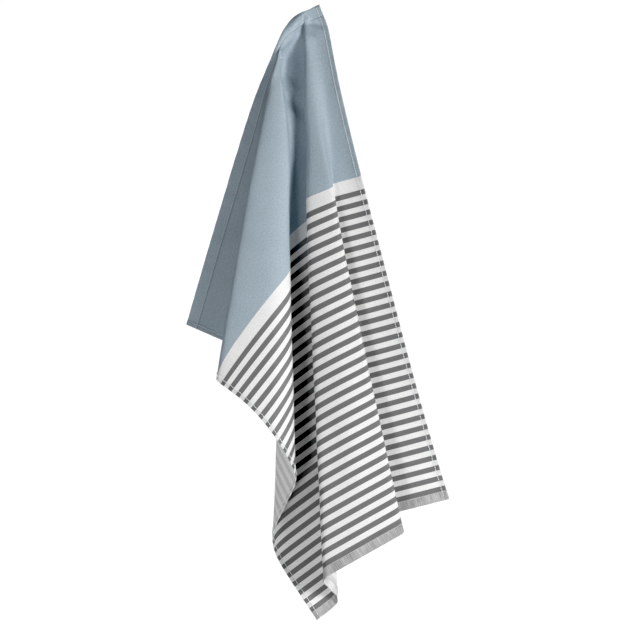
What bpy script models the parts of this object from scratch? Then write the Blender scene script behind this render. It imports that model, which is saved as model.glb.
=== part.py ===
"""A striped cotton tea towel, hung from one point of its top edge and fallen into folds.

The towel is one hemmed piece of cloth. Flat, it is WIDTH across and LENGTH down. A spot on
the cloth is named by two lengths: across (0 at the near long edge, WIDTH at the far one) and
down (0 at the top edge, LENGTH at the bottom hem).

The cloth hangs from a point of its top edge. Rays run from there over the cloth, and each
ray has a cloth angle: 0 degrees along the top edge towards the near corner, 180 degrees
along it towards the far corner. Around the hang point the cloth is still open and flat.
Farther down each ray swings to its hanging direction, and the folds are where neighbouring
rays turn back over one another. The table FOLDS has one row for each fold.

The folds gather beside the hang point, not all in it. So the angles in the table each have
a lean: what is added to the angle at the hang point, and less and less of it farther down.

World frame: metres, +Z up, origin at the hang point, front of the cloth towards -Y.
"""

from typing import NamedTuple

import bmesh
import bpy
import numpy as np

# Cloth, laid flat
WIDTH = 0.500
LENGTH = 0.700
THICKNESS = 0.0016
HANG_ACROSS = 0.027

# Grid of the sheet: finer cells near the hang point, where the folds are close together
FINE_WIDTH = 0.130
FINE_LENGTH = 0.100
FINE_CELLS_ACROSS = 14
FINE_CELLS_DOWN = 10
COARSE_CELLS_ACROSS = 32
COARSE_CELLS_DOWN = 46

# Hanging
TOP_EDGE_TILT = 15.5      # degrees, rise of the top edge at the hang point
OPEN_RADIUS = 0.062       # the cloth folds up within this distance of the hang point
TOP_OPEN_RADIUS = 0.084   # the same along the far part of the top edge
TOP_OPEN_FROM = 150.0     # cloth angle where that part starts
OPENING_STEPS = 20
LEAN_START = 0.080        # a lean keeps most of its size within this distance
LEAN_DISTANCE = 0.030     # and then fades at this rate
LEAST_DISTANCE = 0.040    # a bend gets no wider than it is this far from the hang point
WIDEST_BEND = 8.0         # degrees
STEP_SHARE = 0.8          # a step is this much narrower than its bend

# The far half's folds start from a pinch, which takes up a little of the cloth's length
TAKE_UP = 0.016
TAKE_UP_ANGLE = 147.0     # cloth angle of the pinch
TAKE_UP_WIDTH = 7.0       # degrees
TAKE_UP_DISTANCE = 0.040

# The near long edge is drawn in between its corners and curls to the front
EDGE_PULL = 0.0055
EDGE_CURL = 0.010
EDGE_STRIP = 0.090


class Fold(NamedTuple):
    """One fold line, from the hang point down over the cloth."""

    name: str
    cloth: float         # cloth angle of the fold line, degrees
    lean: float          # its lean
    swing: float         # hanging direction seen from the front, degrees right of straight down
    swing_lean: float
    depth: float         # hanging direction towards the front, degrees
    depth_lean: float
    bend: float          # length of cloth in the bend, metres
    step: float          # how far the cloth moves to the front across the bend, metres


FOLDS = [
    #                            on the cloth   swing          depth
    #     name                   angle   lean   angle  lean    angle  lean   bend    step
    Fold("right flap back",      102.5,   -18,    2.0,   15,   -0.5,  -1.5,  0.010,  0.004),
    Fold("pleat right ridge",    109.5,   -22,   12.5,   -7,    1.0,   1.5,  0.010,  0.004),
    Fold("pleat crown",          114.5,   -21,    7.8,   -8,    1.0,   0.0,  0.030,  0.000),
    Fold("pleat left ridge",     119.5,   -20,    3.0,   -9,   -0.5,  -1.5,  0.014, -0.003),
    Fold("pleat back",           122.0,    -5,    3.0,    8,   -5.0,  -5.0,  0.016,  0.000),
    Fold("valley floor",         127.5,    15,   -2.0,  -13,   -5.0,  -9.0,  0.020,  0.009),
    Fold("left fold right side", 135.0,    11,    1.5,  -10,   -1.5,  -1.5,  0.009,  0.000),
    Fold("left fold crown",      139.0,    15,    2.0,  -23,    1.5,  -1.5,  0.040,  0.000),
    Fold("left fold left side",  150.0,    16,   -9.0,  -25,   -2.0,   1.5,  0.018, -0.004),
    Fold("far flap back",        162.5,    14,    2.0,  -27,   -4.5,   1.5,  0.018, -0.004),
    Fold("far end of top edge",  180.0,     0,  -16.0,  -11,   -9.5,  -1.5,  0.010,  0.000),
]


def rounded_corner(distance, width):
    """A ramp that starts at zero, with its corner rounded over width."""
    share = np.abs(distance) / width
    return 0.5 * (distance + width * (share + np.log1p(np.exp(-2.0 * share))))


def rounded_step(distance, width):
    """A step from zero to one, spread over width."""
    return 0.5 * (1.0 + np.tanh(distance / width))


def lean_share(distance):
    """One at the hang point, where a lean has its full size, and less farther down."""
    reach = np.hypot(distance, LEAN_START) + LEAN_DISTANCE
    return (LEAN_START + LEAN_DISTANCE) / reach


def openness(distance, radius):
    """One at the hang point, where the cloth is flat, down to zero at the radius."""
    return np.clip(1.0 - distance / radius, 0.0, 1.0) ** 3


def hanging_direction(cloth_angle, distance):
    """Swing and depth of a ray in degrees, and the step of its fold to the front."""
    share = lean_share(distance)
    start = 0.0 * share
    lines = [start] + [fold.cloth + fold.lean * share for fold in FOLDS]
    swings = [start + 90.0 + TOP_EDGE_TILT]
    swings += [fold.swing + fold.swing_lean * share for fold in FOLDS]
    depths = [start] + [fold.depth + fold.depth_lean * share for fold in FOLDS]
    gaps = np.diff(lines, axis=0)
    swing_rates = np.diff(swings, axis=0) / gaps
    depth_rates = np.diff(depths, axis=0) / gaps

    swing = swings[0] + swing_rates[0] * cloth_angle
    depth = depths[0] + depth_rates[0] * cloth_angle
    step = np.zeros_like(cloth_angle)
    for index, fold in enumerate(FOLDS[:-1]):
        bend = np.degrees(fold.bend / np.maximum(distance, LEAST_DISTANCE))
        bend = np.minimum(bend, WIDEST_BEND)
        past_line = cloth_angle - lines[index + 1]
        ramp = rounded_corner(past_line, bend)
        swing = swing + (swing_rates[index + 1] - swing_rates[index]) * ramp
        depth = depth + (depth_rates[index + 1] - depth_rates[index]) * ramp
        step = step + fold.step * rounded_step(past_line, STEP_SHARE * bend)
    return swing, depth, step


def ray_vector(swing, depth):
    """Unit vector of a hanging direction given in degrees."""
    side = np.radians(swing)
    front = np.radians(depth)
    return np.stack([np.sin(side) * np.cos(front), -np.sin(front), -np.cos(side) * np.cos(front)], -1)


def open_radius(cloth_angle):
    """Distance from the hang point within which a ray's cloth folds up."""
    top_share = np.clip((cloth_angle - TOP_OPEN_FROM) / (180.0 - TOP_OPEN_FROM), 0.0, 1.0) ** 2
    return OPEN_RADIUS + (TOP_OPEN_RADIUS - OPEN_RADIUS) * top_share


def hanging_length(length, cloth_angle):
    """The length of a ray past the open cloth, less what the pinch takes up."""
    pinch = TAKE_UP * np.exp(-((cloth_angle - TAKE_UP_ANGLE) / TAKE_UP_WIDTH) ** 2)
    return length - pinch * (1.0 - np.exp(-length / TAKE_UP_DISTANCE))


def hung_cloth(across, down):
    """World position of each spot on the cloth's middle surface."""
    distance = np.hypot(across - HANG_ACROSS, down)
    cloth_angle = np.degrees(np.arctan2(down, HANG_ACROSS - across))
    # Just above the far part of the top edge the angle goes on past 180 degrees
    cloth_angle = np.where(cloth_angle < -90.0, cloth_angle + 360.0, cloth_angle)
    swing, depth, step = hanging_direction(cloth_angle, distance)
    flat_swing = 90.0 + TOP_EDGE_TILT - cloth_angle

    # Walk out along each ray while the cloth goes from flat to folded
    radius = open_radius(cloth_angle)
    place = np.zeros(np.shape(distance) + (3,))
    stride = radius / OPENING_STEPS
    for index in range(OPENING_STEPS):
        flat = openness((index + 0.5) * stride, radius)
        length = np.clip(distance - index * stride, 0.0, stride)
        mixed_swing = swing + (flat_swing - swing) * flat
        place += length[..., None] * ray_vector(mixed_swing, depth * (1.0 - flat))
    length = hanging_length(np.clip(distance - radius, 0.0, None), cloth_angle)
    place += length[..., None] * ray_vector(swing, depth)
    place[..., 1] -= step * (1.0 - openness(distance, radius))

    # The near long edge
    strip = np.clip(1.0 - across / EDGE_STRIP, 0.0, 1.0) ** 2
    from_middle = np.clip(2.0 * down / LENGTH - 1.0, -1.0, 1.0)
    bow = strip * (1.0 - from_middle ** 4)
    place[..., 0] -= EDGE_PULL * bow
    place[..., 1] -= EDGE_CURL * bow
    return place


def sheet_normals(across, down):
    """Unit normals of the hung cloth, pointing out of its front side."""
    nudge = 0.002
    along = hung_cloth(across + nudge, down) - hung_cloth(across - nudge, down)
    below = hung_cloth(across, down + nudge) - hung_cloth(across, down - nudge)
    normals = np.cross(along, below)
    return normals / np.linalg.norm(normals, axis=-1, keepdims=True)


def add_skin(mesh, places, outward):
    """Add one side of the sheet as triangles and return its rows of vertices."""
    rows = [[mesh.verts.new(place) for place in row] for row in places]
    for upper, lower in zip(rows[:-1], rows[1:]):
        for column in range(len(upper) - 1):
            a, b = upper[column], upper[column + 1]
            c, d = lower[column + 1], lower[column]
            for triangle in ((a, b, c), (a, c, d)):
                mesh.faces.new(triangle if outward else triangle[::-1])
    return rows


def rim_of(rows):
    """The vertices around a skin, in order."""
    top = rows[0]
    far = [row[-1] for row in rows[1:]]
    bottom = rows[-1][-2::-1]
    near = [row[0] for row in rows[-2:0:-1]]
    return top + far + bottom + near


def close_rim(mesh, front, back):
    """Join the two skins around the sheet's edge."""
    count = len(front)
    for index in range(count):
        following = (index + 1) % count
        mesh.faces.new((front[index], back[index], back[following]))
        mesh.faces.new((front[index], back[following], front[following]))


def cloth_material():
    """Matt cotton, in the pale blue of the towel's upper part."""
    material = bpy.data.materials.new("cotton")
    material.use_nodes = True
    shader = material.node_tree.nodes["Principled BSDF"]
    shader.inputs["Base Color"].default_value = (0.33, 0.42, 0.48, 1.0)
    shader.inputs["Roughness"].default_value = 0.9
    shader.inputs["Metallic"].default_value = 0.0
    return material


def grid_lines(fine_length, fine_cells, length, coarse_cells):
    """Places of the grid's lines from 0 to length, closer together up to fine_length."""
    fine = np.linspace(0.0, fine_length, fine_cells + 1)
    coarse = np.linspace(fine_length, length, coarse_cells + 1)
    return np.concatenate([fine, coarse[1:]])


def build_towel():
    """The towel as one closed sheet."""
    across, down = np.meshgrid(
        grid_lines(FINE_WIDTH, FINE_CELLS_ACROSS, WIDTH, COARSE_CELLS_ACROSS),
        grid_lines(FINE_LENGTH, FINE_CELLS_DOWN, LENGTH, COARSE_CELLS_DOWN),
    )
    middle = hung_cloth(across, down)
    half = 0.5 * THICKNESS * sheet_normals(across, down)

    mesh = bmesh.new()
    front = add_skin(mesh, middle + half, True)
    back = add_skin(mesh, middle - half, False)
    close_rim(mesh, rim_of(front), rim_of(back))

    data = bpy.data.meshes.new("towel")
    mesh.to_mesh(data)
    mesh.free()
    data.materials.append(cloth_material())
    data.shade_smooth()
    towel = bpy.data.objects.new("towel", data)
    bpy.context.scene.collection.objects.link(towel)
    return towel


def main():
    """Clear the scene and build the towel."""
    for existing in list(bpy.data.objects):
        bpy.data.objects.remove(existing)
    build_towel()


main()
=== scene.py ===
"""The looks of a striped tea towel that hangs from one point of its top edge.

The towel is one thin sheet of cotton. Every place on it is given by the cloth's own flat sizes:
across, from the near long edge, and down, from the top edge. The hang point is the origin, +Z is
up and -Y is out of the front. All sizes are in metres unless a name or a table says millimetres.
"""

import logging
from collections.abc import Callable, Iterable
from dataclasses import dataclass, field
from enum import Enum
from typing import NamedTuple

import bpy
import numpy as np
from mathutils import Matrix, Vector


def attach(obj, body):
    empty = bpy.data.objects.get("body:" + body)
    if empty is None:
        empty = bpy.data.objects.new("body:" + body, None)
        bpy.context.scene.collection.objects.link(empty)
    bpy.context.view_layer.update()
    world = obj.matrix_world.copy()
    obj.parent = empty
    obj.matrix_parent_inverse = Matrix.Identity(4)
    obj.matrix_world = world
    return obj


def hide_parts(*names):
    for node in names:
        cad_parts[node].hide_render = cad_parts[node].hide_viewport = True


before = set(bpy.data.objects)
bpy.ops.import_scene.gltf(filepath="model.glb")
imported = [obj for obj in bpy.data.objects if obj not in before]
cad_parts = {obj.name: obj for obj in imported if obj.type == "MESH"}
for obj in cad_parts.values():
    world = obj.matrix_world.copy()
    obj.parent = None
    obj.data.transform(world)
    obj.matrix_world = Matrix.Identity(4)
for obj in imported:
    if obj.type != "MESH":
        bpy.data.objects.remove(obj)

LOG = logging.getLogger("tea_towel")
MM = 0.001
FULL_TURN = 6.2832
CLOTH_PLACE = "cloth_place"

Array = np.ndarray
Colour = tuple[float, float, float, float]
Factors = tuple[float, float, float]
Socket = bpy.types.NodeSocket
Value = Socket | float | Colour


class Side(Enum):
    """The two sides of the cloth, with the sign of the front's outward direction."""

    FRONT = 1.0
    BACK = -1.0


class Fold(NamedTuple):
    """A fold line that runs down the cloth from the hang point.

    Each lean is what is added at the hang point. It fades farther down.

    Attributes:
        name: Which fold it is.
        cloth: Angle of its line in the flat cloth, degrees from the top edge.
        lean: Lean of that line.
        swing: Angle in which the cloth hangs there, degrees from straight down to the right.
        swing_lean: Lean of the swing.
        depth: Angle in which the cloth hangs there, degrees towards the front.
        depth_lean: Lean of the depth.
        bend: Width of the rounded fold, metres.
        step: How far the cloth past the fold comes to the front, metres.
    """

    name: str
    cloth: float
    lean: float
    swing: float
    swing_lean: float
    depth: float
    depth_lean: float
    bend: float
    step: float


FOLDS = [
    #                            on the cloth   swing          depth
    #     name                   angle   lean   angle  lean    angle  lean   bend    step
    Fold("right flap back",      102.5,   -18,    2.0,   15,   -0.5,  -1.5,  0.010,  0.004),
    Fold("pleat right ridge",    109.5,   -22,   12.5,   -7,    1.0,   1.5,  0.010,  0.004),
    Fold("pleat crown",          114.5,   -21,    7.8,   -8,    1.0,   0.0,  0.030,  0.000),
    Fold("pleat left ridge",     119.5,   -20,    3.0,   -9,   -0.5,  -1.5,  0.009, -0.003),
    Fold("pleat back",           122.0,    -5,    3.0,    8,   -5.0,  -5.0,  0.016,  0.000),
    Fold("valley floor",         127.5,    15,   -2.0,  -13,   -5.0,  -9.0,  0.020,  0.009),
    Fold("left fold right side", 135.0,    11,    1.5,  -10,   -1.5,  -1.5,  0.009,  0.000),
    Fold("left fold crown",      139.0,    15,    2.0,  -23,    1.5,  -1.5,  0.040,  0.000),
    Fold("left fold left side",  150.0,    16,   -9.0,  -25,   -2.0,   1.5,  0.018, -0.004),
    Fold("far flap back",        162.5,    14,    2.0,  -27,   -4.5,   1.5,  0.018, -0.004),
    Fold("far end of top edge",  180.0,     0,  -16.0,  -11,   -9.5,  -1.5,  0.010,  0.000),
]


class Crease(NamedTuple):
    """A soft ridge or trough that runs between two places of the cloth.

    Attributes:
        name: Which crease it is.
        across: Start, millimetres across.
        down: Start, millimetres down.
        to_across: End, millimetres across.
        to_down: End, millimetres down.
        width: Half its width, millimetres.
        height: How far it stands out of the front, millimetres; a trough is less than nothing.
    """

    name: str
    across: float
    down: float
    to_across: float
    to_down: float
    width: float
    height: float


CREASES = [
    #      name                     across   down  to_acr to_down width height
    Crease("gather right",            25.0,   16.0,    6.0,   27.0,  3.4,  -2.8),
    Crease("gather middle",           27.0,   15.0,   23.0,   36.0,  2.8,  -2.6),
    Crease("gather ridge",            31.0,   16.0,   34.0,   52.0,  3.4,   2.2),
    Crease("gather left",             35.0,   15.0,   46.0,   44.0,  3.4,  -2.6),
    Crease("valley start",            50.0,   32.0,   92.0,   72.0,  7.5,  -4.0),
    Crease("top hem, left of point",  38.0,   -6.0,  140.0,   -6.0, 14.0,   2.0),
    Crease("top hem, far part",      110.0,    0.0,  560.0,    0.0, 11.0,   3.0),
    Crease("pinch below top hem",     83.0,   16.0,  132.0,   27.0,  3.2,  -4.0),
    Crease("pinch ridge",             86.0,   24.0,  132.0,   40.0,  6.0,   2.5),
    Crease("left fold hollow",       230.0,  260.0,  300.0,  420.0, 22.0,  -1.6),
    Crease("left fold swell",        262.0,  250.0,  345.0,  420.0, 20.0,   1.4),
    Crease("pleat middle",           106.0,  250.0,  275.0,  640.0, 26.0,   4.0),
    Crease("near edge, upper",         0.0,   60.0,    0.0,  330.0, 20.0,   5.0),
    Crease("near edge, lower",         0.0,  300.0,    0.0,  560.0, 20.0,   2.0),
    Crease("right flap ripple",       34.0,  180.0,   40.0,  420.0, 14.0,   0.9),
    Crease("right flap hollow",       52.0,  260.0,   66.0,  520.0, 12.0,  -0.8),
]


class Push(NamedTuple):
    """A place where the cloth hangs a little off the plain folds.

    Attributes:
        name: Which place it is.
        across: Its middle, millimetres across.
        down: Its middle, millimetres down.
        reach_across: How far it reaches across, millimetres.
        reach_down: How far it reaches down, millimetres.
        right: How far the cloth moves to the right, millimetres.
        back: How far the cloth moves to the back, millimetres.
        up: How far the cloth moves up, millimetres.
    """

    name: str
    across: float
    down: float
    reach_across: float
    reach_down: float
    right: float
    back: float
    up: float


PUSHES = [
    #    name                       across  down  reach_a reach_d right  back    up
    Push("near top corner",            0.0,    0.0,  18.0,  20.0,  -6.4,   0.0,   2.0),
    Push("left fold, start",          76.0,   44.0,  16.0,  20.0, -18.0,   0.0,   0.0),
    Push("left fold, upper",          98.0,   68.0,  18.0,  24.0, -18.0,   0.0,   0.0),
    Push("left fold, lower",         122.0,   94.0,  24.0,  34.0, -10.0,   0.0,   0.0),
    Push("hollow, start",             66.0,   50.0,  14.0,  22.0,   0.0,   6.0,   0.0),
    Push("hollow, upper",             84.0,   76.0,  12.0,  16.0,  -5.0,   6.0,   0.0),
    Push("hollow, lower",            102.0,  104.0,  12.0,  24.0,  -5.0,   5.0,   0.0),
    Push("left fold, right side",    148.0,  130.0,  26.0,  50.0,  -4.0,   0.0,   0.0),
    Push("top hem, left of point",    82.0,   -3.0,  42.0,  13.0,   1.5, -13.0,   0.0),
    Push("pleat left side",           88.0,  186.0,  24.0,  66.0,   3.5,   0.0,   0.0),
    Push("far flap, start",          120.0,    0.0,  45.0,  25.0,   3.0,   0.0,   0.0),
]


class Hem(NamedTuple):
    """A turned and sewn edge of the cloth. Its sewing leaves small waves along it.

    Attributes:
        name: Which edge it is.
        width: From the edge to the inner side of the turning, millimetres.
        extra: How much thicker than plain cloth it is, millimetres.
        seam: From the edge to its line of stitches, millimetres.
        reach: How far into the cloth its waves reach, millimetres.
        pucker: Height of its waves, millimetres.
        wave: Length along the edge in which they turn by a radian, millimetres.
        sway: How far they draw together and apart, radians.
        sway_wave: Length along the edge in which that turns by a radian, millimetres.
    """

    name: str
    width: float
    extra: float
    seam: float
    reach: float
    pucker: float
    wave: float
    sway: float
    sway_wave: float

    def nearness(self, from_edge: Array) -> Array:
        """Gives 1 at the edge, fading to 0 in the panel, for millimetres from the edge."""
        return np.exp(-((from_edge / self.reach) ** 2))

    def waves(self, along: Array) -> Array:
        """Gives the waves at millimetres along the edge, in millimetres out of the front."""
        turn = along / self.wave + self.sway * np.sin(along / self.sway_wave)
        return self.pucker * np.sin(turn)


LONG_HEM = Hem(
    "long edges", width=7.1, extra=0.75, seam=6.2,
    reach=9.0, pucker=0.34, wave=2.9, sway=1.7, sway_wave=23.0)
TOP_HEM = Hem(
    "top edge", width=14.6, extra=1.10, seam=13.4,
    reach=18.0, pucker=0.22, wave=3.7, sway=1.3, sway_wave=29.0)
BOTTOM_HEM = Hem(
    "bottom edge", width=12.8, extra=0.70, seam=12.4,
    reach=14.0, pucker=0.55, wave=4.6, sway=2.0, sway_wave=37.0)


def smooth_step(value: Array, low: float, high: float) -> Array:
    """Rises smoothly from 0 at low to 1 at high.

    Args:
        value: Numbers to map.
        low: Where the rise starts.
        high: Where the rise ends; it may be less than low.

    Returns:
        Numbers from 0 to 1.
    """
    share = np.clip((value - low) / (high - low), 0.0, 1.0)
    return share * share * (3.0 - 2.0 * share)


@dataclass(frozen=True)
class Drape:
    """The way in which the cloth hangs: its middle surface as a function of its flat sizes.

    Sizes are in metres and angles in degrees. The swell and the ripple are fine unevenness of
    the cloth; their sizes are in millimetres and their shifts in radians.
    """

    width: float = 0.500
    length: float = 0.700
    hang_across: float = 0.027
    top_edge_tilt: float = 15.5
    open_radius: float = 0.062
    top_open_radius: float = 0.084
    top_open_from: float = 150.0
    top_open_angle: float = 30.0
    opening_steps: int = 20
    lean_start: float = 0.080
    lean_distance: float = 0.030
    least_distance: float = 0.040
    widest_bend: float = 8.0
    step_width: float = 0.8
    take_up: float = 0.016
    take_up_angle: float = 147.0
    take_up_width: float = 7.0
    take_up_distance: float = 0.040
    edge_pull: float = 0.0055
    edge_curl: float = 0.010
    edge_strip: float = 0.090
    crease_start: tuple[float, float] = (-0.15, 0.25)
    crease_end: tuple[float, float] = (1.15, 0.70)
    swell: float = 0.30
    swell_across: float = 19.0
    swell_down: float = 47.0
    swell_shift: float = 0.6
    swell_sway: float = 1.1
    swell_sway_down: float = 83.0
    ripple: float = 0.16
    ripple_across: float = 8.3
    ripple_down: float = 21.0
    ripple_slants: tuple[float, float] = (31.0, 57.0)
    nudge: float = 0.0008

    @staticmethod
    def rounded_corner(distance: Array, width: Array) -> Array:
        """Gives 0 well before a corner and the distance past it well after, with a rounded turn."""
        share = np.abs(distance) / width
        return 0.5 * (distance + width * (share + np.log1p(np.exp(-2.0 * share))))

    @staticmethod
    def rounded_step(distance: Array, width: Array) -> Array:
        """Gives 0 well before a place and 1 well after it, with a rounded rise."""
        return 0.5 * (1.0 + np.tanh(distance / width))

    @staticmethod
    def ray(swing: Array, depth: Array) -> Array:
        """Gives the unit vectors of directions that hang at two angles in degrees."""
        side, front = np.radians(swing), np.radians(depth)
        return np.stack(
            [np.sin(side) * np.cos(front), -np.sin(front), -np.cos(side) * np.cos(front)], -1
        )

    def lean_share(self, distance: Array) -> Array:
        """Gives how much of each lean is left: 1 at the hang point and less farther down."""
        reach = np.hypot(distance, self.lean_start) + self.lean_distance
        return (self.lean_start + self.lean_distance) / reach

    def hanging(self, cloth_angle: Array, distance: Array) -> tuple[Array, Array, Array]:
        """Finds the direction in which the cloth hangs.

        Args:
            cloth_angle: Angle in the flat cloth round the hang point, degrees.
            distance: Distance in the flat cloth from the hang point.

        Returns:
            The swing and the depth in degrees, and the step to the front in metres.
        """
        share = self.lean_share(distance)
        lines = [0.0 * share] + [fold.cloth + fold.lean * share for fold in FOLDS]
        swings = [90.0 + self.top_edge_tilt + 0.0 * share]
        swings += [fold.swing + fold.swing_lean * share for fold in FOLDS]
        depths = [0.0 * share] + [fold.depth + fold.depth_lean * share for fold in FOLDS]
        gaps = np.diff(lines, axis=0)
        swing_rates = np.diff(swings, axis=0) / gaps
        depth_rates = np.diff(depths, axis=0) / gaps
        swing = swings[0] + swing_rates[0] * cloth_angle
        depth = depths[0] + depth_rates[0] * cloth_angle
        step = np.zeros_like(cloth_angle)
        for index, fold in enumerate(FOLDS[:-1]):
            bend = np.degrees(fold.bend / np.maximum(distance, self.least_distance))
            bend = np.minimum(bend, self.widest_bend)
            past_line = cloth_angle - lines[index + 1]
            ramp = self.rounded_corner(past_line, bend)
            swing = swing + (swing_rates[index + 1] - swing_rates[index]) * ramp
            depth = depth + (depth_rates[index + 1] - depth_rates[index]) * ramp
            step = step + fold.step * self.rounded_step(past_line, self.step_width * bend)
        return swing, depth, step

    def folded(self, across: Array, down: Array) -> Array:
        """Places the cloth in its main folds.

        Args:
            across: Metres across.
            down: Metres down.

        Returns:
            A place for each, with x, y and z last.
        """
        distance = np.hypot(across - self.hang_across, down)
        cloth_angle = np.degrees(np.arctan2(down, self.hang_across - across))
        cloth_angle = np.where(cloth_angle < -90.0, cloth_angle + 360.0, cloth_angle)
        swing, depth, step = self.hanging(cloth_angle, distance)
        flat_swing = 90.0 + self.top_edge_tilt - cloth_angle
        past_start = (cloth_angle - self.top_open_from) / self.top_open_angle
        near_top = np.clip(past_start, 0.0, 1.0) ** 2
        radius = self.open_radius + (self.top_open_radius - self.open_radius) * near_top
        place = np.zeros(np.shape(distance) + (3,))
        stride = radius / self.opening_steps
        for index in range(self.opening_steps):
            flat = (1.0 - (index + 0.5) / self.opening_steps) ** 3
            part = np.clip(distance - index * stride, 0.0, stride)
            way = self.ray(swing + (flat_swing - swing) * flat, depth * (1.0 - flat))
            place += part[..., None] * way
        rest = np.clip(distance - radius, 0.0, None)
        off_angle = (cloth_angle - self.take_up_angle) / self.take_up_width
        gathered = self.take_up * np.exp(-(off_angle**2))
        rest = rest - gathered * (1.0 - np.exp(-rest / self.take_up_distance))
        place += rest[..., None] * self.ray(swing, depth)
        open_share = np.clip(1.0 - distance / radius, 0.0, 1.0) ** 3
        place[..., 1] -= step * (1.0 - open_share)
        strip = np.clip(1.0 - across / self.edge_strip, 0.0, 1.0) ** 2
        from_middle = np.clip(2.0 * down / self.length - 1.0, -1.0, 1.0)
        bow = strip * (1.0 - from_middle**4)
        place[..., 0] -= self.edge_pull * bow
        place[..., 1] -= self.edge_curl * bow
        return place

    def hung(self, across: Array, down: Array) -> Array:
        """Places the cloth in its main folds, moved where it hangs off them.

        Args:
            across: Metres across.
            down: Metres down.

        Returns:
            A place for each, with x, y and z last.
        """
        place = self.folded(across, down)
        for push in PUSHES:
            off_across = (across / MM - push.across) / push.reach_across
            off_down = (down / MM - push.down) / push.reach_down
            share = np.exp(-(off_across**2) - off_down**2)
            place += share[..., None] * np.array([push.right, push.back, push.up]) * MM
        return place

    def out_of_front(
        self, place: Callable[[Array, Array], Array], across: Array, down: Array
    ) -> Array:
        """Finds the unit vectors that point out of the cloth's front.

        Args:
            place: Function that places the cloth.
            across: Metres across.
            down: Metres down.

        Returns:
            A unit vector for each, with x, y and z last.
        """
        along = place(across + self.nudge, down) - place(across - self.nudge, down)
        below = place(across, down + self.nudge) - place(across, down - self.nudge)
        out = np.cross(along, below)
        return out / np.linalg.norm(out, axis=-1, keepdims=True)

    def crease_height(self, across: Array, down: Array) -> Array:
        """Adds up the soft creases.

        Args:
            across: Metres across.
            down: Metres down.

        Returns:
            Millimetres out of the front.
        """
        x, y = across / MM, down / MM
        height = np.zeros_like(x)
        for crease in CREASES:
            start = np.array([crease.across, crease.down])
            way = np.array([crease.to_across, crease.to_down]) - start
            run = np.hypot(*way)
            way = way / run
            share = ((x - start[0]) * way[0] + (y - start[1]) * way[1]) / run
            aside = (x - start[0]) * way[1] - (y - start[1]) * way[0]
            fade = smooth_step(share, *self.crease_start) * smooth_step(share, *self.crease_end)
            height += crease.height * fade * np.exp(-((aside / crease.width) ** 2))
        return height

    def unevenness(self, across: Array, down: Array) -> Array:
        """Gives the slow swells and the finer ripples that are all over the cloth.

        Args:
            across: Metres across.
            down: Metres down.

        Returns:
            Millimetres out of the front.
        """
        x, y = across / MM, down / MM
        sway = self.swell_sway * np.sin(y / self.swell_sway_down)
        swell = np.sin(x / self.swell_across + sway)
        swell = swell * np.sin(y / self.swell_down + self.swell_shift)
        ripple = np.sin(x / self.ripple_across + y / self.ripple_slants[0])
        ripple = ripple * np.sin(y / self.ripple_down - x / self.ripple_slants[1])
        return self.swell * swell + self.ripple * ripple

    def pucker(self, across: Array, down: Array) -> Array:
        """Gives the small waves that sewing leaves in the hems.

        Args:
            across: Metres across.
            down: Metres down.

        Returns:
            Millimetres out of the front.
        """
        x, y = across / MM, down / MM
        far_side, bottom = self.width / MM - x, self.length / MM - y
        sides = LONG_HEM.nearness(x) + LONG_HEM.nearness(far_side)
        waves = sides * LONG_HEM.waves(y)
        waves = waves + BOTTOM_HEM.nearness(bottom) * BOTTOM_HEM.waves(x)
        return waves + TOP_HEM.nearness(y) * TOP_HEM.waves(x)

    def middle(self, across: Array, down: Array) -> Array:
        """Places the cloth's middle surface with all its creases.

        Args:
            across: Metres across.
            down: Metres down.

        Returns:
            A place for each, with x, y and z last.
        """
        out = self.out_of_front(self.hung, across, down)
        height = self.crease_height(across, down) + self.unevenness(across, down)
        height = height + self.pucker(across, down)
        return self.hung(across, down) + height[..., None] * MM * out


@dataclass(frozen=True)
class Thickness:
    """How thick the cloth is: thin in its panel, thicker in its turned hems, pinched by seams.

    Sizes are in millimetres. A hem's turning ends in a small slope, from just inside its width
    to just outside it.
    """

    plain: float = 0.60
    seam_depth: float = 0.42
    seam_width: float = 0.85
    slope_inside: float = 0.3
    slope_outside: float = 0.7
    rounding: float = 0.9
    edge_share: float = 0.3
    least: float = 0.30

    def hem(self, from_edge: Array, hem: Hem) -> Array:
        """Gives what a hem and its seam add to the thickness.

        Args:
            from_edge: Millimetres from the hem's edge.
            hem: The hem.

        Returns:
            Millimetres of thickness; less than nothing where a seam pinches plain cloth.
        """
        outside, inside = hem.width + self.slope_outside, hem.width - self.slope_inside
        turned = hem.extra * smooth_step(from_edge, outside, inside)
        seam = self.seam_depth * np.exp(-(((from_edge - hem.seam) / self.seam_width) ** 2))
        return turned - seam

    def half(self, drape: Drape, across: Array, down: Array) -> Array:
        """Gives half the cloth's thickness in metres.

        Args:
            drape: The cloth's sizes.
            across: Metres across.
            down: Metres down.

        Returns:
            Half the thickness at each place.
        """
        side = np.minimum(across, drape.width - across) / MM
        bottom = (drape.length - down) / MM
        top = down / MM
        full = self.plain + self.hem(side, LONG_HEM) + self.hem(top, TOP_HEM)
        full = full + self.hem(bottom, BOTTOM_HEM)
        edge = np.clip(np.minimum(np.minimum(side, bottom), top) / self.rounding, 0.0, 1.0)
        round_edge = np.sqrt(np.clip(1.0 - (1.0 - edge) ** 2, 0.0, 1.0))
        share = self.edge_share + (1.0 - self.edge_share) * round_edge
        return 0.5 * MM * np.maximum(full, self.least) * share


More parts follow.
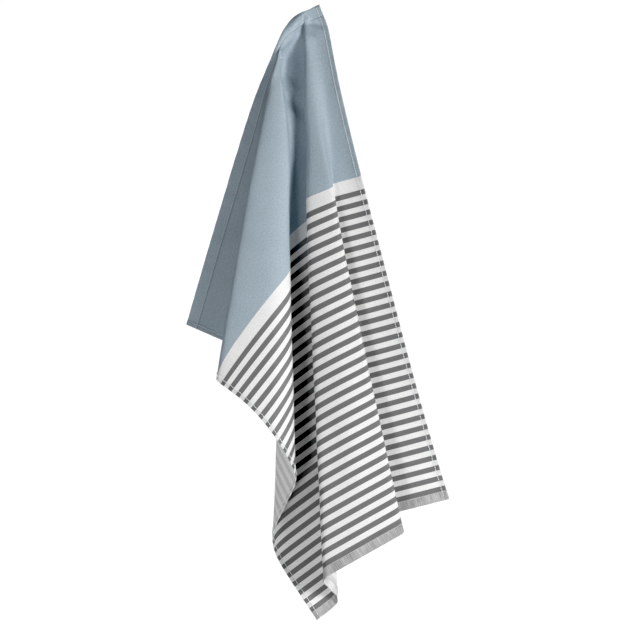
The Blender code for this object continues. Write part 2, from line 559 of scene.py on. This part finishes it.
class Graph:
    """Adds shader nodes to one new material and joins them."""

    def __init__(self, name: str) -> None:
        """Starts an empty material.

        Args:
            name: The material's name.
        """
        self.material = bpy.data.materials.new(name)
        self.material.use_nodes = True
        self.tree = self.material.node_tree
        self.tree.nodes.clear()

    def feed(self, socket: Socket, value: Value) -> None:
        """Joins another socket to an input, or sets the input to a plain value.

        Args:
            socket: The input.
            value: What it gets.
        """
        if isinstance(value, Socket):
            self.tree.links.new(value, socket)
        else:
            socket.default_value = value

    def node(self, kind: str, **settings: str | bool) -> bpy.types.Node:
        """Adds a node.

        Args:
            kind: Blender's name for its type.
            **settings: Its properties.

        Returns:
            The node.
        """
        made = self.tree.nodes.new(kind)
        for name, value in settings.items():
            setattr(made, name, value)
        return made

    def math(self, operation: str, first: Value, second: Value = 0.0) -> Socket:
        """Adds a Math node.

        Args:
            operation: What it does.
            first: The first number.
            second: The second number, where the operation has one.

        Returns:
            The result.
        """
        made = self.node("ShaderNodeMath", operation=operation)
        self.feed(made.inputs[0], first)
        self.feed(made.inputs[1], second)
        return made.outputs[0]

    def chain(self, operation: str, *values: Socket) -> Socket:
        """Adds up or multiplies several numbers.

        Args:
            operation: ADD or MULTIPLY.
            *values: The numbers.

        Returns:
            The result.
        """
        result = values[0]
        for value in values[1:]:
            result = self.math(operation, result, value)
        return result

    def wave(self, value: Socket, pitch: float) -> Socket:
        """Gives a sine wave along a value."""
        return self.math("SINE", self.math("MULTIPLY", value, FULL_TURN / pitch))

    def rise(self, value: Socket, low: float, high: float) -> Socket:
        """Gives 0 at low and 1 at high, with a smooth rise between them.

        Args:
            value: The number to map.
            low: Where the rise starts.
            high: Where the rise ends; it may be less than low.

        Returns:
            A number from 0 to 1.
        """
        made = self.node("ShaderNodeMapRange", interpolation_type="SMOOTHSTEP", clamp=True)
        self.feed(made.inputs["Value"], value)
        made.inputs["From Min"].default_value = min(low, high)
        made.inputs["From Max"].default_value = max(low, high)
        made.inputs["To Min"].default_value = 0.0 if low < high else 1.0
        made.inputs["To Max"].default_value = 1.0 if low < high else 0.0
        return made.outputs["Result"]

    def spread(self, value: Socket, low: float, high: float) -> Socket:
        """Maps 0 to 1 onto low to high."""
        return self.math("ADD", self.math("MULTIPLY", value, high - low), low)

    def about(self, value: Socket, middle: float, reach: float) -> Socket:
        """Maps 0 to 1 onto a middle less and plus a reach."""
        return self.spread(value, middle - reach, middle + reach)

    def mix(self, share: Value, first: Value, second: Value) -> Socket:
        """Mixes two colours.

        Args:
            share: How much of the second there is, 0 to 1.
            first: The first colour.
            second: The second colour.

        Returns:
            The mixed colour.
        """
        made = self.node("ShaderNodeMix", data_type="RGBA")
        self.feed(made.inputs["Factor"], share)
        self.feed(made.inputs["A"], first)
        self.feed(made.inputs["B"], second)
        return made.outputs["Result"]

    def toned(self, colour: Socket | Colour, factor: Socket) -> Socket:
        """Makes a colour lighter or darker.

        Args:
            colour: The colour.
            factor: What it is multiplied by.

        Returns:
            The new colour.
        """
        made = self.node("ShaderNodeVectorMath", operation="SCALE")
        self.feed(made.inputs[0], colour if isinstance(colour, Socket) else colour[:3])
        self.feed(made.inputs["Scale"], factor)
        return made.outputs["Vector"]

    def noise(self, place: Socket, fineness: Factors, detail: float) -> Socket:
        """Adds smooth noise.

        Args:
            place: Where it is read.
            fineness: Its grains in one unit of the place, along each axis.
            detail: How many finer layers it has.

        Returns:
            A number from 0 to 1.
        """
        scaled = self.node("ShaderNodeVectorMath", operation="MULTIPLY")
        self.feed(scaled.inputs[0], place)
        scaled.inputs[1].default_value = fineness
        made = self.node("ShaderNodeTexNoise")
        self.feed(made.inputs["Vector"], scaled.outputs["Vector"])
        made.inputs["Scale"].default_value = 1.0
        made.inputs["Detail"].default_value = detail
        return made.outputs["Fac"]

    def finish(
        self, colour: Socket, height: Socket, bump: float, **constants: float
    ) -> bpy.types.Material:
        """Adds the surface shader.

        Args:
            colour: The base colour.
            height: The bump's height, in millimetres.
            bump: The bump's strength.
            **constants: Plain values of the shader's inputs, with _ for a space.

        Returns:
            The finished material.
        """
        shader = self.node("ShaderNodeBsdfPrincipled")
        self.feed(shader.inputs["Base Color"], colour)
        relief = self.node("ShaderNodeBump")
        relief.inputs["Strength"].default_value = bump
        relief.inputs["Distance"].default_value = MM
        self.feed(relief.inputs["Height"], height)
        self.feed(shader.inputs["Normal"], relief.outputs["Normal"])
        for name, value in constants.items():
            shader.inputs[name.replace("_", " ")].default_value = value
        output = self.node("ShaderNodeOutputMaterial")
        self.feed(output.inputs["Surface"], shader.outputs["BSDF"])
        return self.material


class Weave(NamedTuple):
    """What the nodes of the cotton read at each place of the cloth.

    Attributes:
        place: Millimetres across and down, as one vector.
        across: Millimetres across.
        down: Millimetres down.
        side: Millimetres from the nearer long edge.
        comb: A wave across, with the pitch of the heather end's teeth.
        twill: A wave along the slant of the weave.
        grain: Fine unevenness, 0 to 1.
    """

    place: Socket
    across: Socket
    down: Socket
    side: Socket
    comb: Socket
    twill: Socket
    grain: Socket


@dataclass(frozen=True)
class StripedCotton:
    """The woven cotton: a plain blue end, a white band, grey stripes and a heather end.

    Sizes are in millimetres of the cloth, and each grain is the fineness of a noise on it. A
    tone says by how much a thing makes the colour lighter or darker, and a relief how high it
    stands in the bump. The back shows mostly the bare white threads.
    """

    name: str
    side: Side
    blue: Colour = (0.380, 0.456, 0.514, 1.0)
    white: Colour = (0.830, 0.830, 0.825, 1.0)
    bare: Colour = (0.900, 0.900, 0.895, 1.0)
    grey: Colour = (0.185, 0.185, 0.187, 1.0)
    heather: Colour = (0.400, 0.400, 0.400, 1.0)
    bare_share: float = 0.72
    width: float = 500.0
    blue_end: float = 240.0
    stripes_from: tuple[float, float] = (256.0, 257.0)
    first_stripe: float = 258.0
    stripes_end: float = 687.5
    stripe_pitch: float = 14.56
    stripe_width: float = 7.1
    edge_blur: float = 0.45
    end_blur: float = 0.5
    twill_pitch: float = 2.8
    warp_pitch: float = 0.9
    weft_pitch: float = 0.8
    tooth_pitch: float = 2.9
    tooth_height: float = 0.7
    slub_grain: Factors = (0.06, 1.3, 1.0)
    warp_grain: Factors = (1.1, 0.05, 1.0)
    fine_grain: Factors = (0.9, 0.9, 1.0)
    fleck_grain: Factors = (0.42, 0.36, 1.0)
    cloud_grain: Factors = (0.035, 0.035, 1.0)
    blotch_grain: Factors = (0.05, 0.02, 1.0)
    grey_slub_tone: float = 0.14
    blue_slub_tone: float = 0.06
    warp_tone: float = 0.80
    comb_tone: float = 0.08
    blotch_tone: float = 0.60
    cloud_tone: float = 0.05
    grain_tone: float = 0.28
    fleck_tone: float = 0.24
    undyed_share: float = 0.45
    twill_tone: float = 0.05
    doubled_tone: float = 0.86
    doubled_blur: float = 0.8
    # The top hem's band is made lighter, partly for its thicker cloth and partly as a painted
    # highlight on the flatter band.
    thick_band_and_highlight_tone: float = 1.10
    band_blur: float = 1.2
    # Painted shade: how dark the line just below the top hem's seam is, where it lies and how wide
    # it is.
    seam_shadow_tone: float = 0.80
    seam_shadow_middle: float = 1.6
    seam_shadow_sides: tuple[float, float] = (1.4, 0.2)
    worn_share: float = 0.30
    worn_sides: tuple[float, float] = (0.9, 0.2)
    twill_relief: float = 0.055
    rib_relief: float = 0.022
    fuzz_relief: float = 0.10
    bump: float = 0.8
    roughness: float = 0.52
    sheen: float = 0.12
    sheen_roughness: float = 0.45
    gloss: float = 0.5

    def weave(self, graph: Graph) -> Weave:
        """Reads the place on the cloth and what follows from it.

        Args:
            graph: The material's nodes.

        Returns:
            The values at each place.
        """
        place = graph.node("ShaderNodeAttribute", attribute_name=CLOTH_PLACE).outputs["Vector"]
        parts = graph.node("ShaderNodeSeparateXYZ")
        graph.feed(parts.inputs[0], place)
        across, down = parts.outputs["X"], parts.outputs["Y"]
        return Weave(
            place, across, down,
            side=graph.math("MINIMUM", across, graph.math("SUBTRACT", self.width, across)),
            comb=graph.wave(across, self.tooth_pitch),
            twill=graph.wave(graph.math("ADD", across, down), self.twill_pitch),
            grain=graph.noise(place, self.fine_grain, detail=3.0))

    def pattern(self, graph: Graph, weave: Weave) -> Socket:
        """Colours the cloth by how far down it is, and pales its worn long edges.

        Args:
            graph: The material's nodes.
            weave: The values at each place.

        Returns:
            The colour.
        """
        down = weave.down
        slubs = graph.noise(weave.place, self.slub_grain, detail=3.0)
        half, blur = 0.5 * self.stripe_width, 0.5 * self.edge_blur
        middle = self.first_stripe + half
        phase = graph.math("SUBTRACT", down, middle - 0.5 * self.stripe_pitch)
        turn = graph.math("FLOORED_MODULO", phase, self.stripe_pitch)
        off = graph.math("ABSOLUTE", graph.math("SUBTRACT", turn, 0.5 * self.stripe_pitch))
        stripe = graph.rise(off, half + blur, half - blur)
        stripe = graph.math("MULTIPLY", stripe, graph.rise(down, *self.stripes_from))
        grey = graph.toned(self.grey, graph.about(slubs, 1.0, self.grey_slub_tone))
        body = graph.mix(stripe, self.white, grey)
        dyed = graph.rise(down, self.blue_end + blur, self.blue_end - blur)
        blue = graph.toned(self.blue, graph.about(slubs, 1.0, self.blue_slub_tone))
        body = graph.mix(dyed, body, blue)
        toothed = graph.math("ADD", down, graph.math("MULTIPLY", weave.comb, self.tooth_height))
        end = graph.rise(toothed, self.stripes_end - blur, self.stripes_end + blur)
        colour = graph.mix(end, body, self.heather)
        if self.side is Side.BACK:
            colour = graph.mix(self.bare_share, colour, self.bare)
        worn = graph.rise(weave.side, *self.worn_sides)
        return graph.mix(graph.math("MULTIPLY", worn, self.worn_share), colour, self.white)

    def tone(self, graph: Graph, weave: Weave) -> Socket:
        """Finds how light or dark the colour is at each place, with painted shade and a painted
        highlight at the top hem.

        Args:
            graph: The material's nodes.
            weave: The values at each place.

        Returns:
            The factor of the colour.
        """
        warp = graph.noise(weave.place, self.warp_grain, detail=2.0)
        fleck = graph.noise(weave.place, self.fleck_grain, detail=2.0)
        cloud = graph.noise(weave.place, self.cloud_grain, detail=2.0)
        blotch = graph.noise(weave.place, self.blotch_grain, detail=1.0)
        streaks = graph.chain(
            "ADD", graph.about(warp, 0.0, self.warp_tone),
            graph.spread(weave.comb, 0.0, self.comb_tone),
            graph.about(blotch, 0.0, self.blotch_tone))
        heather = graph.rise(weave.down, self.stripes_end, self.stripes_end + self.end_blur)
        mottle = graph.math(
            "ADD", graph.about(weave.grain, 0.0, self.grain_tone),
            graph.about(fleck, 0.0, self.fleck_tone))
        dyed = graph.rise(
            weave.down, self.blue_end + self.end_blur, self.blue_end - self.end_blur)
        mottle = graph.math("MULTIPLY", mottle, graph.spread(dyed, self.undyed_share, 1.0))
        doubled = graph.rise(weave.side, LONG_HEM.seam, LONG_HEM.seam - self.doubled_blur)
        # The top hem's band is lighter: partly its thicker cloth, partly a painted highlight where
        # the flat band faces the light.
        band = graph.rise(weave.down, TOP_HEM.seam + self.band_blur, TOP_HEM.seam)
        # Painted shade: a dark line just below the top hem's seam, where the hem's edge shades the
        # cloth.
        past = graph.math("SUBTRACT", weave.down, TOP_HEM.seam + self.seam_shadow_middle)
        seam_shadow = graph.rise(graph.math("ABSOLUTE", past), *self.seam_shadow_sides)
        return graph.chain(
            "MULTIPLY",
            graph.math("ADD", 1.0, graph.math("MULTIPLY", heather, streaks)),
            graph.about(cloud, 1.0, self.cloud_tone),
            graph.math("ADD", 1.0, mottle),
            graph.math("ADD", 1.0, graph.math("MULTIPLY", weave.twill, self.twill_tone)),
            graph.spread(doubled, 1.0, self.doubled_tone),
            graph.spread(band, 1.0, self.thick_band_and_highlight_tone),
            graph.spread(seam_shadow, 1.0, self.seam_shadow_tone))

    def relief(self, graph: Graph, weave: Weave) -> Socket:
        """Raises the threads of the weave and their fuzz.

        Args:
            graph: The material's nodes.
            weave: The values at each place.

        Returns:
            The height of the bump, millimetres.
        """
        ribs = graph.math(
            "ADD", graph.wave(weave.across, self.warp_pitch),
            graph.wave(weave.down, self.weft_pitch))
        return graph.chain(
            "ADD", graph.math("MULTIPLY", weave.twill, self.twill_relief),
            graph.math("MULTIPLY", ribs, self.rib_relief),
            graph.math("MULTIPLY", weave.grain, self.fuzz_relief))

    def material(self) -> bpy.types.Material:
        """Makes the material of one side of the cloth.

        Returns:
            The finished material.
        """
        graph = Graph(self.name)
        weave = self.weave(graph)
        colour = graph.toned(self.pattern(graph, weave), self.tone(graph, weave))
        return graph.finish(
            colour, self.relief(graph, weave), self.bump, Roughness=self.roughness,
            Sheen_Weight=self.sheen, Sheen_Roughness=self.sheen_roughness,
            Specular_IOR_Level=self.gloss)


@dataclass(frozen=True)
class Thread:
    """Twisted cotton sewing thread.

    Each grain is the fineness of a noise, in grains a metre, and each tone a range of factors.
    """

    name: str
    colour: Colour
    fibre_grain: Factors = (1800.0, 1800.0, 1800.0)
    fibre_tone: tuple[float, float] = (0.86, 1.10)
    length_grain: Factors = (60.0, 60.0, 60.0)
    length_tone: tuple[float, float] = (0.92, 1.06)
    relief: float = 0.12
    bump: float = 0.6
    roughness: float = 0.85
    sheen: float = 0.15
    gloss: float = 0.25

    def material(self) -> bpy.types.Material:
        """Makes the thread's material, with rough fibres and small colour changes.

        Returns:
            The finished material.
        """
        graph = Graph(self.name)
        place = graph.node("ShaderNodeTexCoord").outputs["Object"]
        fibres = graph.noise(place, self.fibre_grain, detail=1.0)
        length = graph.noise(place, self.length_grain, detail=1.0)
        tone = graph.math(
            "MULTIPLY", graph.spread(fibres, *self.fibre_tone),
            graph.spread(length, *self.length_tone))
        height = graph.math("MULTIPLY", fibres, self.relief)
        return graph.finish(
            graph.toned(self.colour, tone), height, self.bump, Roughness=self.roughness,
            Sheen_Weight=self.sheen, Specular_IOR_Level=self.gloss)


def add_object(name: str, mesh: bpy.types.Mesh) -> bpy.types.Object:
    """Puts a mesh into the scene as a new object with smooth faces.

    Args:
        name: The object's name.
        mesh: Its mesh.

    Returns:
        The object.
    """
    mesh.polygons.foreach_set("use_smooth", np.ones(len(mesh.polygons), dtype=bool))
    mesh.update()
    made = bpy.data.objects.new(name, mesh)
    bpy.context.scene.collection.objects.link(made)
    return made


@dataclass
class Cloth:
    """The cloth itself: a front and a back skin, closed round the hems.

    The spacing and the lines of its grid are in millimetres, the lines of a hem from its edge.
    The map scale is how much of the UV map a metre of the cloth takes up.
    """

    drape: Drape
    thickness: Thickness
    name: str = "cloth"
    spacing: float = 3.15
    long_lines: tuple[float, ...] = (0.0, 0.2, 0.6, 1.2, 3.0, 4.6, 5.6, 6.2, 6.8, 7.7, 9.2)
    top_lines: tuple[float, ...] = (
        0.0, 0.2, 0.6, 1.2, 3.6, 6.4, 9.2, 11.6, 12.7, 13.4, 14.1, 15.0, 16.6)
    bottom_lines: tuple[float, ...] = (
        0.0, 0.2, 0.6, 1.2, 3.4, 6.0, 8.6, 10.8, 11.7, 12.4, 13.1, 14.2)
    map_margin: float = 0.01
    map_scale: float = 0.95
    front: StripedCotton = field(
        default_factory=lambda: StripedCotton("striped_cotton", Side.FRONT))
    back: StripedCotton = field(
        default_factory=lambda: StripedCotton("striped_cotton_back", Side.BACK))

    def lines(self, size: float, first: tuple[float, ...], last: tuple[float, ...]) -> Array:
        """Spaces the grid lines: close together in the hems, even in the panel.

        Args:
            size: The cloth's size in that direction, metres.
            first: Lines from the starting edge, millimetres.
            last: Lines from the other edge, millimetres.

        Returns:
            The lines, metres from the starting edge.
        """
        full = size / MM
        start, end = first[-1], full - last[-1]
        count = int(round((end - start) / self.spacing))
        even = np.linspace(start, end, count + 1)[1:-1]
        return np.concatenate([first, even, full - np.array(last[::-1])]) * MM

    def skins(self) -> tuple[Array, Array, tuple[int, int]]:
        """Places the points of both skins.

        Returns:
            The places, front skin first; the flat sizes of each in millimetres with 1 for the
            front and 0 for the back; and the grid's counts down and across.
        """
        drape = self.drape
        across = self.lines(drape.width, self.long_lines, self.long_lines)
        down = self.lines(drape.length, self.top_lines, self.bottom_lines)
        x, y = np.meshgrid(across, down)
        middle = drape.middle(x, y)
        out = drape.out_of_front(drape.middle, x, y)
        half = self.thickness.half(drape, x, y)[..., None]
        places = np.concatenate([
            (middle + side.value * half * out).reshape(-1, 3) for side in Side])
        flat = np.stack([x / MM, y / MM], -1).reshape(-1, 2)
        ones = np.ones((len(flat), 1))
        marks = np.concatenate([np.hstack([flat, ones]), np.hstack([flat, 0.0 * ones])])
        return places, marks, x.shape

    @staticmethod
    def faces(rows: int, columns: int) -> tuple[Array, Array]:
        """Joins the points of both skins and of the rim between them.

        Args:
            rows: Points down.
            columns: Points across.

        Returns:
            The four corners of each face, and the material slot of each.
        """
        number = np.arange(rows * columns).reshape(rows, columns)
        a, b = number[:-1, :-1].ravel(), number[:-1, 1:].ravel()
        c, d = number[1:, 1:].ravel(), number[1:, :-1].ravel()
        front = np.stack([a, b, c, d], -1)
        behind = front[:, ::-1] + number.size
        loop = np.concatenate([
            number[0, :-1], number[:-1, -1], number[-1, :0:-1], number[:0:-1, 0]])
        ahead = np.roll(loop, -1)
        rim = np.stack([ahead, loop, loop + number.size, ahead + number.size], -1)
        slots = np.concatenate([
            np.zeros(len(front)), np.ones(len(behind)), np.zeros(len(rim))])
        return np.concatenate([front, behind, rim]), slots.astype(np.int32)

    def build(self) -> bpy.types.Object:
        """Builds the cloth's mesh.

        Returns:
            The cloth, with its flat places stored for its materials.
        """
        places, marks, shape = self.skins()
        faces, slots = self.faces(*shape)
        mesh = bpy.data.meshes.new(self.name)
        mesh.from_pydata(places.tolist(), [], faces.tolist())
        mesh.polygons.foreach_set("material_index", slots)
        stored = mesh.attributes.new(CLOTH_PLACE, "FLOAT_VECTOR", "POINT")
        stored.data.foreach_set("vector", marks.astype(np.float32).ravel())
        corners = marks[faces.ravel()]
        on_back = np.repeat(slots == 1, 4)
        map_x = self.map_margin + self.map_scale * corners[:, 0] * MM + 0.5 * on_back
        map_y = 1.0 - self.map_margin - self.map_scale * corners[:, 1] * MM
        layer = mesh.uv_layers.new(name="UVMap")
        layer.data.foreach_set("uv", np.stack([map_x, map_y], -1).astype(np.float32).ravel())
        return add_object(self.name, mesh)

    def dress(self, cloth: bpy.types.Object) -> None:
        """Gives the cloth its two materials and its place in the frame.

        Args:
            cloth: The cloth as built.
        """
        cloth.data.materials.append(self.front.material())
        cloth.data.materials.append(self.back.material())
        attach(cloth, "root")
        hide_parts("towel")


class Seam(NamedTuple):
    """A straight row of stitches.

    Attributes:
        name: Which row it is.
        across: Start, millimetres across.
        down: Start, millimetres down.
        to_across: End, millimetres across.
        to_down: End, millimetres down.
        pitch: From one stitch to the next, millimetres.
        stitch: Length of a stitch, millimetres.
        slant: Angle of each stitch off the row, degrees.
        radius: Half the thread's thickness, millimetres.
    """

    name: str
    across: float
    down: float
    to_across: float
    to_down: float
    pitch: float
    stitch: float
    slant: float
    radius: float


WHITE_SEAMS = [
    #    name           across   down  to_acr to_down pitch stitch slant radius
    Seam("near edge",      6.2,    2.0,    6.2,  698.0,  3.3,   3.1,   2.0,  0.60),
    Seam("far edge",     493.8,    2.0,  493.8,  698.0,  3.3,   3.1,  -2.0,  0.60),
]
BLUE_SEAMS = [
    Seam("top edge",       2.0,   13.4,  498.0,   13.4,  3.2,   2.5,   4.0,  0.42),
]
PALE_SEAMS = [
    Seam("bottom edge",    2.0,  687.5,  498.0,  687.5,  2.9,   2.3,  82.0,  0.30),
    Seam("bottom line",    2.0,  688.2,  498.0,  688.2,  3.1,   2.7,   0.0,  0.26),
]


@dataclass
class Stitching:
    """The stitches of some seams in one thread, joined into one mesh.

    Each stitch is an arched tube. Its wobble, arch, depth and girth are shares of its radius.
    """

    drape: Drape
    thickness: Thickness
    name: str
    seams: list[Seam]
    thread: Thread
    stations: int = 7
    around: int = 6
    wobble: float = 0.25
    wobble_turn: float = 2.4
    arch: float = 1.15
    sunk: float = 0.55
    girth: float = 1.02

    def spines(self, seam: Seam, side: Side) -> tuple[Array, Array]:
        """Lays the middle lines of one seam's stitches on the flat cloth.

        Args:
            seam: The seam.
            side: The side on which the stitches lie.

        Returns:
            Metres across and metres down, with one row of places for each stitch.
        """
        start = np.array([seam.across, seam.down])
        way = np.array([seam.to_across, seam.to_down]) - start
        run = np.hypot(*way)
        way = way / run
        count = int(run / seam.pitch)
        shift = 0.0 if side is Side.FRONT else 0.5 * seam.pitch
        centres = (np.arange(count) + 0.5) * seam.pitch + shift
        turn = np.radians(seam.slant)
        slanted = np.array([
            way[0] * np.cos(turn) - way[1] * np.sin(turn),
            way[0] * np.sin(turn) + way[1] * np.cos(turn)])
        share = np.linspace(-1.0, 1.0, self.stations)
        wave = self.wobble * np.sin(np.arange(count) * self.wobble_turn)
        spine = (start + centres[:, None] * way)[:, None, :]
        spine = spine + 0.5 * seam.stitch * share[None, :, None] * slanted
        spine = spine + wave[:, None, None] * seam.radius * np.array([-way[1], way[0]])
        return spine[..., 0] * MM, spine[..., 1] * MM

    def row(self, seam: Seam, side: Side) -> tuple[Array, Array]:
        """Builds one seam's stitches on one side of the cloth.

        Args:
            seam: The seam.
            side: The side on which the stitches lie.

        Returns:
            The places of the points and the corners of the faces.
        """
        x, y = self.spines(seam, side)
        share = np.linspace(-1.0, 1.0, self.stations)
        middle = self.drape.middle(x, y)
        out = self.drape.out_of_front(self.drape.middle, x, y) * side.value
        half = self.thickness.half(self.drape, x, y)
        rise = seam.radius * MM * (self.arch * (1.0 - share**4) - self.sunk)
        centre = middle + (half + rise)[..., None] * out
        along = np.gradient(centre, axis=1)
        along /= np.linalg.norm(along, axis=-1, keepdims=True)
        beside = np.cross(along, out)
        girth = seam.radius * MM * np.sqrt(np.clip(self.girth - share**6, 0.0, 1.0))
        angle = np.linspace(0.0, 2.0 * np.pi, self.around, endpoint=False)
        ring = (
            np.cos(angle)[:, None] * beside[:, :, None, :]
            + np.sin(angle)[:, None] * out[:, :, None, :])
        points = centre[:, :, None, :] + girth[None, :, None, None] * ring
        number = np.arange(x.size * self.around)
        number = number.reshape(len(x), self.stations, self.around)
        beyond = np.roll(number, -1, axis=2)
        quads = np.stack([
            number[:, :-1], beyond[:, :-1], beyond[:, 1:], number[:, 1:]], -1)
        return points.reshape(-1, 3), quads.reshape(-1, 4)

    def build(self) -> bpy.types.Object:
        """Builds all the seams on both sides of the cloth.

        Returns:
            The stitches as one object.
        """
        points: list[Array] = []
        quads: list[Array] = []
        total = 0
        for seam in self.seams:
            for side in Side:
                made, faces = self.row(seam, side)
                points.append(made)
                quads.append(faces + total)
                total += len(made)
        mesh = bpy.data.meshes.new(self.name)
        mesh.from_pydata(np.concatenate(points).tolist(), [], np.concatenate(quads).tolist())
        return add_object(self.name, mesh)

    def dress(self, stitches: bpy.types.Object) -> None:
        """Gives the stitches their thread and their place in the frame.

        Args:
            stitches: The stitches as built.
        """
        stitches.data.materials.append(self.thread.material())
        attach(stitches, "root")


@dataclass(frozen=True)
class PaleFloor:
    """A plain pale floor with a faint mottle."""

    name: str = "pale_floor"
    colour: Colour = (0.82, 0.82, 0.82, 1.0)
    grain: Factors = (3.0, 3.0, 3.0)
    mottle: float = 0.015
    bump: float = 0.02
    roughness: float = 0.8

    def material(self) -> bpy.types.Material:
        """Makes the floor's material.

        Returns:
            The finished material.
        """
        graph = Graph(self.name)
        place = graph.node("ShaderNodeTexCoord").outputs["Object"]
        noise = graph.noise(place, self.grain, detail=2.0)
        colour = graph.toned(self.colour, graph.about(noise, 1.0, self.mottle))
        return graph.finish(colour, noise, self.bump, Roughness=self.roughness)


@dataclass(frozen=True)
class SoftLight:
    """A soft lamp that is aimed at the towel: its place and size in metres, its power in watts."""

    name: str
    place: tuple[float, float, float]
    size: float
    power: float


@dataclass
class Studio:
    """Floor, lights and camera.

    Sizes are in metres, but the lens and the sensor in millimetres. The camera stands as far
    away as its lens needs for the frame's width.
    """

    aim: tuple[float, float, float] = (0.0202, 0.0, -0.4252)
    frame_width: float = 0.8813
    lens: float = 800.0
    sensor: float = 36.0
    far_clip: float = 4.0
    floor_height: float = -1.05
    floor_size: float = 5.0
    ambient: float = 0.005
    backdrop: float = 1.05
    black: float = 0.048
    white: Colour = (1.0, 1.0, 1.0, 1.0)
    lights: tuple[SoftLight, ...] = (
        SoftLight("key", (1.96, -1.90, -0.65), 0.9, 62.0),
        SoftLight("fill", (-1.68, -2.15, -0.65), 1.7, 18.0),
        SoftLight("side fill", (-2.47, -1.15, -0.65), 0.9, 4.0),
        SoftLight("low fill", (-0.28, -0.62, -1.00), 0.16, 1.5),
        SoftLight("back right", (1.54, 1.97, 0.50), 1.2, 32.0),
        SoftLight("back left", (-1.40, 2.07, 0.50), 1.2, 24.0),
    )

    def floor(self) -> None:
        """Lays the floor below the towel."""
        bpy.ops.object.select_all(action="DESELECT")
        bpy.ops.mesh.primitive_plane_add(size=self.floor_size, location=(0.0, 0.0, 0.0))
        made = bpy.context.active_object
        made.name = "floor"
        for corner in made.data.vertices:
            corner.co.z = self.floor_height
        made.data.materials.append(PaleFloor().material())

    def light(self) -> None:
        """Hangs the lamps and sets the even light from all round."""
        for lamp in self.lights:
            data = bpy.data.lights.new(lamp.name, "AREA")
            data.shape, data.size, data.energy = "DISK", lamp.size, lamp.power
            made = bpy.data.objects.new(lamp.name, data)
            made.location = lamp.place
            towards = Vector(self.aim) - Vector(lamp.place)
            made.rotation_euler = towards.to_track_quat("-Z", "Y").to_euler()
            made.visible_camera = False
            bpy.context.scene.collection.objects.link(made)
        world = bpy.data.worlds.new("white_room")
        world.use_nodes = True
        nodes, links = world.node_tree.nodes, world.node_tree.links
        background = nodes["Background"]
        background.inputs["Color"].default_value = self.white
        path = nodes.new("ShaderNodeLightPath")
        level = nodes.new("ShaderNodeMapRange")
        level.inputs["To Min"].default_value = self.ambient
        level.inputs["To Max"].default_value = self.backdrop
        links.new(path.outputs["Is Camera Ray"], level.inputs["Value"])
        links.new(level.outputs["Result"], background.inputs["Strength"])
        bpy.context.scene.world = world

    def camera(self) -> None:
        """Sets the camera straight in front, far away with a long lens."""
        data = bpy.data.cameras.new("camera")
        data.lens, data.sensor_width = self.lens, self.sensor
        distance = self.frame_width * self.lens / self.sensor
        data.clip_end = self.far_clip * distance
        made = bpy.data.objects.new("camera", data)
        made.location = Vector(self.aim) - Vector((0.0, distance, 0.0))
        made.rotation_euler = (np.pi / 2.0, 0.0, 0.0)
        bpy.context.scene.collection.objects.link(made)
        bpy.context.scene.camera = made
        view = bpy.context.scene.view_settings
        view.view_transform = "Standard"
        view.use_curve_mapping = True
        view.curve_mapping.black_level = (self.black,) * 3
        view.curve_mapping.update()

    def build(self) -> None:
        """Builds the whole studio."""
        self.floor()
        self.light()
        self.camera()


def report(piece: bpy.types.Object) -> None:
    """Logs a piece's name, faces and size.

    Args:
        piece: The piece as built.
    """
    size = ", ".join(f"{side / MM:.1f}" for side in piece.dimensions)
    LOG.info("%s: %d faces, %s mm", piece.name, len(piece.data.polygons), size)


def main() -> None:
    """Builds the towel and its studio."""
    logging.basicConfig(level=logging.INFO, format="%(message)s")
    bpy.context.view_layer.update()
    drape, thickness = Drape(), Thickness()

    sewing = Cloth(drape, thickness)
    cloth = sewing.build()
    sewing.dress(cloth)
    report(cloth)

    white = Thread("white_thread", (0.80, 0.85, 0.88, 1.0))
    blue = Thread("blue_thread", (0.74, 0.82, 0.87, 1.0))
    pale = Thread("pale_thread", (0.56, 0.565, 0.57, 1.0))
    for name, seams, thread in (
        ("white_stitches", WHITE_SEAMS, white),
        ("blue_stitches", BLUE_SEAMS, blue),
        ("pale_stitches", PALE_SEAMS, pale),
    ):
        stitching = Stitching(drape, thickness, name, seams, thread)
        stitches = stitching.build()
        stitching.dress(stitches)
        report(stitches)

    Studio().build()


if __name__ == "__main__":
    main()
